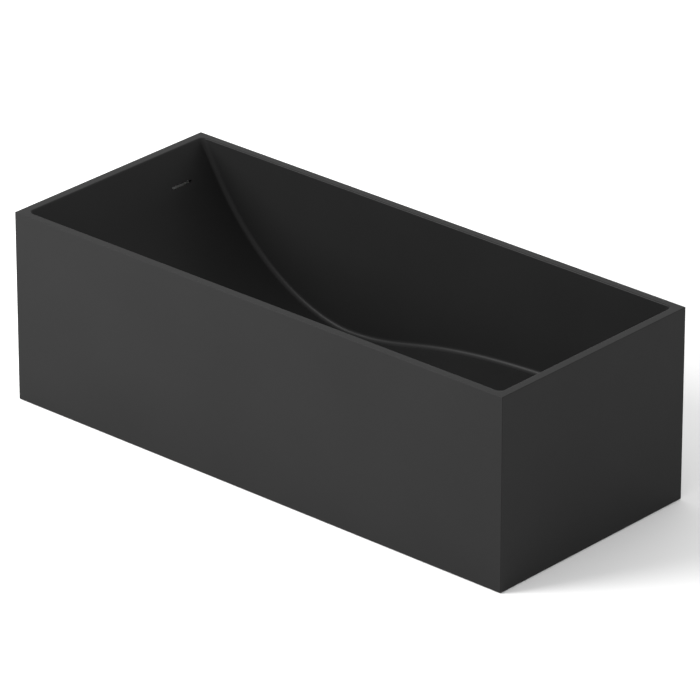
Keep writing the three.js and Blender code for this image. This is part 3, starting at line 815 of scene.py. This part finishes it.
def tube_rows(low, high, inset, radius, along):
    """Rounded rectangle of a tube's section at both ends of the tube."""
    across = 1 - along
    corners = [
        (low[across] + inset, low.z + inset), (high[across] - inset, low.z + inset),
        (high[across] - inset, high.z - inset), (low[across] + inset, high.z - inset),
    ]
    section = rounded(corners, radius, 5)
    ends = (low[along], high[along])
    return [[(end, a, b) if along == 0 else (a, end, b) for a, b in section] for end in ends]


def make_tube(node, along, material):
    """Box-section tube with rounded corners, in a node's place. Its length runs along x (0) or y (1)."""
    low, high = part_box(node)
    outside = tube_rows(low, high, 0, TUBE_CORNER, along)
    inside = tube_rows(low, high, TUBE_WALL, TUBE_INNER_CORNER, along)
    return wrap(node + "_tube", np.array(outside + inside[::-1]), material, ring=True)


def make_bead(name, member, side, material):
    """Weld bead round the end of a cross member."""
    low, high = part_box(member)
    y = high.y if side > 0 else low.y
    corners = [(low.x, low.z), (high.x, low.z), (high.x, high.z), (low.x, high.z)]
    loop = np.array(rounded(corners, TUBE_CORNER, 5))
    steps = np.linalg.norm(np.roll(loop, -1, axis=0) - loop, axis=1)
    points = []
    for start, end, length in zip(loop, np.roll(loop, -1, axis=0), steps):
        count = max(1, round(length / BEAD_STEP))
        points += [start + (end - start) * i / count for i in range(count)]
    points = np.array(points)
    middle = np.array([(low.x + high.x) / 2, (low.z + high.z) / 2])
    outward = unit(points - middle)
    ripple = BEAD_RADIUS + BEAD_RIPPLE * np.sin(np.arange(len(points)) * 1.9)
    angles = np.linspace(0, 2 * math.pi, 8, endpoint=False)
    rows = []
    for point, out, radius in zip(points, outward, ripple):
        spread = radius * np.cos(angles)
        row = [point[0] + spread * out[0], y + radius * np.sin(angles), point[1] + spread * out[1]]
        rows.append(np.stack(row, axis=-1))
    dressed(wrap(name, np.array(rows), material, ring=True), "frame_steel")


def make_frame(paint, zinc):
    feet = [centre_of(f"foot_pad_{number}") for number in range(1, 7)]
    for node in ("front_rail", "rear_rail"):
        tube = make_tube(node, 0, paint)
        low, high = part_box(node)
        under = [foot for foot in feet if low.y < foot.y < high.y]
        for i, foot in enumerate(under):
            place = (foot.x, foot.y, low.z)
            hole = in_mm([(0, -6), (6.6, -6), (6.6, 8), (0, 8)])
            cut(tube, lathe("hole", hole, paint, place=place, sides=32))
            nut = hexagon(
                f"{node}_nut_{i + 1}", WELD_NUT_FLATS, NUT_BORE, WELD_NUT_LOW, WELD_NUT_HIGH, zinc,
                place=place)
            dressed(nut, "zinc_steel")
        dressed(tube, "frame_steel", node)
    for number in range(1, 4):
        member = f"cross_member_{number}"
        dressed(make_tube(member, 1, paint), "frame_steel", member)
        for side, word in ((-1, "front"), (1, "rear")):
            make_bead(f"{member}_{word}_weld", member, side, paint)


# ---- Levelling feet ----

STUD_RADIUS = 6 * MM
STUD_THREAD = 0.7 * MM
STUD_PITCH = 1.75 * MM
STUD_HEXAGON_FLATS = 15.6 * MM
STUD_HEXAGON_HEIGHT = 6 * MM
LOCKNUT_FLATS = 18.2 * MM


def make_feet(rubber_look, zinc):
    pad = rounded(in_mm([
        (0, 0.9, 0), (8, 0.9), (9, 0), (14.5, 0), (15.5, 0.9), (17.5, 0.9), (18.5, 0), (24, 0),
        (24, 4), (12, 9.6), (10, 12), (0, 12, 0),
    ]), 0.7 * MM)
    for number in range(1, 7):
        body = f"foot_{number}"
        place = centre_of(f"foot_pad_{number}")
        place.z = 0
        dressed(lathe(f"{body}_pad", pad, rubber_look, body, place), "rubber", f"foot_pad_{number}")
        low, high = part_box(f"foot_stud_{number}")
        shoulder = low.z + STUD_HEXAGON_HEIGHT
        rod = threaded(
            f"{body}_stud", STUD_RADIUS, STUD_THREAD, STUD_PITCH, shoulder, high.z, zinc, body, place)
        dressed(rod, "zinc_steel", f"foot_stud_{number}")
        flats = hexagon(f"{body}_hexagon", STUD_HEXAGON_FLATS, 0, low.z, shoulder, zinc, body, place)
        dressed(flats, "zinc_steel")
        low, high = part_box(f"foot_locknut_{number}")
        nut = hexagon(
            f"{body}_locknut", LOCKNUT_FLATS, NUT_BORE, low.z, high.z, zinc, "tub", place)
        dressed(nut, "zinc_steel", f"foot_locknut_{number}")


# ---- Waste ----

WASTE_PLACE = (HIP_X, 0, 0)
SPOKE_PLACE = 17 * MM  # middle of a spoke, from the axis
SPOKE_Z = 108 * MM
SPOKE_SIZE = (8 * MM, 3 * MM, 4 * MM)
PLUG_STEM_RADIUS = 4 * MM
PLUG_STEM_THREAD = 0.5 * MM
PLUG_STEM_PITCH = 1.25 * MM
INLET_Z = 98 * MM
OUTLET_Z = 55.5 * MM
PIPE_RADIUS = 18 * MM
PIPE_BORE = 15.5 * MM


def make_flange(coat):
    shell = rounded(in_mm([
        (23.9, 103), (23.9, 128.6), (35, 128.6), (35, 131.1, 0.9),
        (27.5, 131.1), (20.5, 125.1), (20.5, 103),
    ]), 0.4 * MM, 4)
    dressed(lathe("waste_ring", shell, coat, place=WASTE_PLACE, sides=96), "black_cap", "waste_flange")
    hub = ring_outline(10.3, 13.5, 106, 110, 0.6)
    dressed(lathe("waste_hub", hub, coat, place=WASTE_PLACE), "black_cap")
    for i in range(6):
        angle = i * math.pi / 3
        place = (
            HIP_X + SPOKE_PLACE * math.cos(angle), SPOKE_PLACE * math.sin(angle), SPOKE_Z)
        turn = Matrix.Rotation(angle, 4, "Z")
        spoke = block(f"waste_spoke_{i + 1}", SPOKE_SIZE, place, coat, 0.5 * MM, turn=turn)
        dressed(spoke, "black_cap")


def make_plug(coat, rubber_look, brass_look, plastic):
    """Domed cap with its seal, stem and plunger, which travel together."""
    seat = 131.4
    dome = [(r, seat + 4.5 - 0.7 * (r / 22) ** 2, 0) for r in np.linspace(29, 0, 12)]
    cap = rounded(in_mm([
        (0, seat - 7, 0), (7, seat - 7), (7, seat), (31, seat), (31, seat + 1.2),
        (30.3, seat + 2.7),
    ]), 0.4 * MM) + [np.array(point[:2]) for point in in_mm(dome)]
    dressed(lathe("waste_cap", cap, coat, "plug", WASTE_PLACE, sides=128), "black_cap", "plug_cap")
    seal = rounded(in_mm([(7.3, 128.3), (20, 128.2), (22, 129.4), (22, 131.1), (7.3, 131.1)]), 0.4 * MM)
    dressed(lathe("waste_cap_seal", seal, rubber_look, "plug", WASTE_PLACE), "rubber", "plug_seal")
    low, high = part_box("plug_stem")
    stem = threaded(
        "waste_cap_stem", PLUG_STEM_RADIUS, PLUG_STEM_THREAD, PLUG_STEM_PITCH, low.z, high.z,
        brass_look, "plug", WASTE_PLACE)
    dressed(stem, "brass", "plug_stem")
    plunger = rounded(in_mm([
        (0, 96, 0), (7, 96), (7, 103), (6.4, 103.6), (6.4, 105.4), (7, 106), (7, 116), (0, 116, 0),
    ]), 0.5 * MM)
    plunger = lathe("waste_plunger", plunger, plastic, "plug", WASTE_PLACE)
    dressed(plunger, "white_plastic", "cartridge_plunger")


def make_cartridge(brass_look):
    outline = rounded(in_mm([
        (0, 86, 0), (10, 86), (10, 110.3), (12.5, 110.3), (12.5, 113), (7.4, 113), (7.4, 88), (0, 88, 0),
    ]), 0.4 * MM)
    knurl = (24, 0.5 * MM, 12 * MM)
    piece = lathe("waste_cartridge", outline, brass_look, place=WASTE_PLACE, sides=96, flutes=knurl)
    dressed(piece, "brass", "cartridge_body")


def make_waste_seals(rubber_look):
    for node in ("flange_seal", "body_seal", "trap_seal"):
        low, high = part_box(node)
        outer = (high.x - low.x) / 2 / MM
        inner = {"flange_seal": 26, "body_seal": 24.3, "trap_seal": 46.4}[node]
        outline = ring_outline(inner, outer, low.z / MM, high.z / MM)
        dressed(lathe(node + "_ring", outline, rubber_look, place=WASTE_PLACE, sides=96), "rubber", node)


def make_waste_body(plastic):
    """Upper half of the cup trap, and the barbed spigot for the overflow hose."""
    outline = rounded(in_mm([
        (18, 20), (20.5, 20), (20.5, 78.3), (46, 78.3), (46, 66), (48.5, 66), (48.5, 78.3), (52, 78.3),
        (52, 81.5), (29.5, 81.5), (29.5, 110), (34, 110), (34, 115.4), (24.2, 115.4), (24.2, 81.5),
        (18, 80.5),
    ]), 0.8 * MM)
    body = lathe("trap_head", outline, plastic, place=WASTE_PLACE, sides=96, flutes=(36, 0.6 * MM, 33 * MM))
    dressed(body, "white_plastic", "waste_body")
    dressed(spigot("trap_inlet", (HIP_X, 0, INLET_Z), "y", 27, 62, plastic), "white_plastic")


def spigot(name, place, axis, start, end, material):
    """Hose connection with three barbs near its end."""
    toward = 1 if end > start else -1
    corners = [(8.3, start), (10.5, start)]
    for i in range(3):
        barb = end - toward * (15 - 5 * i)
        corners += [(9.8, barb, 0.1), (10.5, barb + toward * 0.6), (9.8, barb + toward * 4.4, 0.1)]
    corners += [(9.3, end), (8.3, end)]
    return lathe(name, rounded(in_mm(corners), 0.2 * MM), material, place=place, axis=axis, sides=48)


def make_trap(plastic, grey_look):
    cup = rounded(in_mm([
        (0, 9.2, 0), (30, 9.2), (32, 8), (44, 8), (52, 14), (52, 78), (49, 78), (49, 11), (0, 11, 0),
    ]), 1.2 * MM)
    piece = lathe("trap_bowl", cup, plastic, place=WASTE_PLACE, sides=120, flutes=(30, 1.1 * MM, 51 * MM))
    dressed(piece, "white_plastic", "trap_cup")
    place = (HIP_X, 0, OUTLET_Z)
    socket = rounded(in_mm([(15.5, 50), (21, 50), (21, 76), (18.3, 76), (18.3, 56), (15.5, 56)]), 0.5 * MM)
    dressed(lathe("trap_socket", socket, plastic, place=place, axis="x"), "white_plastic")
    nut = rounded(in_mm([(26, 60), (26, 77), (18.7, 77), (18.7, 76.3), (21.3, 76.3), (21.3, 60)]), 0.6 * MM)
    grips = (12, 1.8 * MM, 25 * MM)
    piece = lathe("trap_outlet_nut", nut, plastic, place=place, axis="x", sides=96, flutes=grips)
    dressed(piece, "white_plastic", "outlet_nut")

    start, radius, level = 90, 36, OUTLET_Z / MM  # where the bend starts, its radius and its height
    end = start + radius
    turn = np.linspace(0, math.pi / 2, 17)
    bend = [(start + radius * math.sin(t), level - radius + radius * math.cos(t)) for t in turn]
    route = [(56.3, level), (70, level), *bend, (end, 10), (end, 2)]
    path = [(HIP_X + a * MM, 0, b * MM) for a, b in route]
    elbow = sweep("outlet_pipe", path, [PIPE_RADIUS] * len(path), PIPE_BORE, 48, grey_look)
    dressed(elbow, "grey_plastic", "outlet_elbow")


# ---- Overflow hose ----

HOSE_OUTER = 14 * MM
HOSE_BORE = 11.2 * MM
HOSE_CUFF = 24 * MM  # plain length at each end
HOSE_PITCH = 5.4 * MM
HOSE_GROOVE = 1.7 * MM
CLIP_REACH = HOSE_OUTER + 7 * MM  # from the hose's axis to the outside of a clip's housing
CLIP_SCREW_PLACE = 18 * MM  # from the hose's axis


def centripetal(points, steps):
    """Curve through the points, as a centripetal Catmull-Rom spline."""
    points = [np.array(p, dtype=float) for p in points]
    points = [2 * points[0] - points[1], *points, 2 * points[-1] - points[-2]]
    path = []
    for a, b, c, d in zip(points, points[1:], points[2:], points[3:]):
        knots = np.cumsum([0] + [np.linalg.norm(q - p) ** 0.5 for p, q in ((a, b), (b, c), (c, d))])
        t0, t1, t2, t3 = knots
        for t in np.linspace(t1, t2, steps, endpoint=False):
            ab = (a * (t1 - t) + b * (t - t0)) / (t1 - t0)
            bc = (b * (t2 - t) + c * (t - t1)) / (t2 - t1)
            cd = (c * (t3 - t) + d * (t - t2)) / (t3 - t2)
            abc = (ab * (t2 - t) + bc * (t - t0)) / (t2 - t0)
            bcd = (bc * (t3 - t) + cd * (t - t1)) / (t3 - t1)
            path.append((abc * (t2 - t) + bcd * (t - t1)) / (t2 - t1))
    return np.array([*path, points[-2]])


def evenly(path, spacing):
    """The same path with its points evenly spaced, and the distance of each along it."""
    far = np.concatenate([[0], np.cumsum(np.linalg.norm(np.diff(path, axis=0), axis=1))])
    along = np.linspace(0, far[-1], int(far[-1] / spacing) + 1)
    return np.stack([np.interp(along, far, path[:, i]) for i in range(3)], axis=-1), along


def make_hose(grey_look):
    """Corrugated hose with a plain cuff at each end."""
    top_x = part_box("upper_hose_clip")[1].x - CLIP_REACH
    route = in_mm([(top_x / MM, 198, 425), (top_x / MM, 198, 395), (top_x / MM, 203, 300)] + [
        (-783, 210, 205), (-757, 226, 140), (-700, 246, 110), (-610, 257, 101), (-500, 259, 98),
        (-400, 252, 98), (-330, 215, 98), (-292, 150, 98), (-284, 90, 98), (-284, 64, 98), (-284, 42, 98),
    ])
    path, along = evenly(centripetal(route, 24), HOSE_PITCH / 6)
    wave = 0.5 - 0.5 * np.cos(2 * math.pi * along / HOSE_PITCH)
    to_end = np.minimum(along, along[-1] - along)
    depth = HOSE_GROOVE * np.clip((to_end - HOSE_CUFF) / HOSE_PITCH, 0, 1)
    hose = sweep("overflow_pipe", path, HOSE_OUTER - depth * wave, HOSE_BORE, 20, grey_look)
    dressed(hose, "grey_plastic", "overflow_hose")


def make_clip(node, axis, zinc):
    """Worm-drive clip: a band, the housing of its screw, and the screw."""
    low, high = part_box(node)
    centre = (low + high) / 2
    centre.x = high.x - CLIP_REACH
    band = ring_outline(14.3, 15.8, -4.5, 4.5, 0.3)
    dressed(lathe(node + "_band", band, zinc, place=centre, axis=axis), "zinc_steel", node)
    along = Vector((0, 1, 0)) if axis == "z" else Vector((0, 0, 1))
    size = Vector((5.6 * MM, 8 * MM, 8 * MM)) + along * 4 * MM
    place = centre + Vector((CLIP_SCREW_PLACE, 0, 0))
    dressed(block(node + "_housing", size, place, zinc, 1.2 * MM), "zinc_steel")
    head = rounded(in_mm([(0, 5.5, 0), (2.9, 5.5), (2.9, 8), (2.2, 8), (2.2, 7.2), (0, 7.2, 0)]), 0.2 * MM)
    screw_axis = "y" if axis == "z" else "z"
    dressed(lathe(node + "_screw", head, zinc, place=place, axis=screw_axis, sides=32), "zinc_steel")


def dress_node(node, material):
    """Gives a CAD node that keeps its own shape its procedural material."""
    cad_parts[node].material_slots[0].material = material


# ---- Studio ----

FLOOR_REACH = 40
WORLD_STRENGTH = 1.0
KEY_DIRECTION = (-0.50, -0.70, 0.50)
KEY_DISTANCE = 8
KEY_SIZE = 5.0
KEY_POWER = 960


def add_floor():
    maker = MeshMaker()
    ends = (-FLOOR_REACH, FLOOR_REACH)
    grid = [[(x, y, 0) for x in ends] for y in ends]
    maker.rows(maker.points(grid))
    nodes = Nodes("floor")
    nodes.into(nodes.colours(nodes.noise(0.8, 2.0), [(0.3, grey(0.91)), (0.7, grey(0.93))]), "Base Color")
    nodes.shader.inputs["Roughness"].default_value = 0.9
    nodes.shader.inputs["Specular IOR Level"].default_value = 0.0
    maker.make("floor", nodes.material, body=None)


def add_area_light(name, direction, distance, size, power):
    data = bpy.data.lights.new(name, "AREA")
    data.shape = "DISK"
    data.size = size
    data.energy = power
    light = bpy.data.objects.new(name, data)
    bpy.context.scene.collection.objects.link(light)
    direction = Vector(direction).normalized()
    light.location = Vector((0, 0, RIM_Z / 2)) + direction * distance
    light.rotation_mode = "QUATERNION"
    light.rotation_quaternion = (-direction).to_track_quat("-Z", "Y")


def add_world(strength):
    world = bpy.data.worlds.new("studio")
    world.use_nodes = True
    background = world.node_tree.nodes["Background"]
    background.inputs["Color"].default_value = (1, 1, 1, 1)
    background.inputs["Strength"].default_value = strength
    bpy.context.scene.world = world


def add_studio():
    add_floor()
    add_world(WORLD_STRENGTH)
    add_area_light("key", KEY_DIRECTION, KEY_DISTANCE, KEY_SIZE, KEY_POWER)


# ---- Everything together ----

add_camera()
black = solid_surface()
rubber_look = rubber()
coat = black_coat()
brass_look = brass()
zinc = zinc_steel()
white_look = white_plastic()
grey_look = grey_plastic()
make_basin(black)
make_casing(black)
make_frame(frame_paint(), zinc)
make_feet(rubber_look, zinc)
make_flange(coat)
make_plug(coat, rubber_look, brass_look, white_look)
make_cartridge(brass_look)
make_waste_seals(rubber_look)
make_waste_body(white_look)
make_trap(white_look, grey_look)
make_hose(grey_look)
make_clip("upper_hose_clip", "z", zinc)
make_clip("lower_hose_clip", "y", zinc)
ply = plywood()
for number in range(1, 6):
    dress_node(f"rib_{number}", ply)
dress_node("cartridge_spring", zinc)
dress_node("overflow_box", white_look)
dress_node("overflow_gasket", rubber_look)
add_studio()
bpy.context.scene.view_settings.view_transform = "Standard"
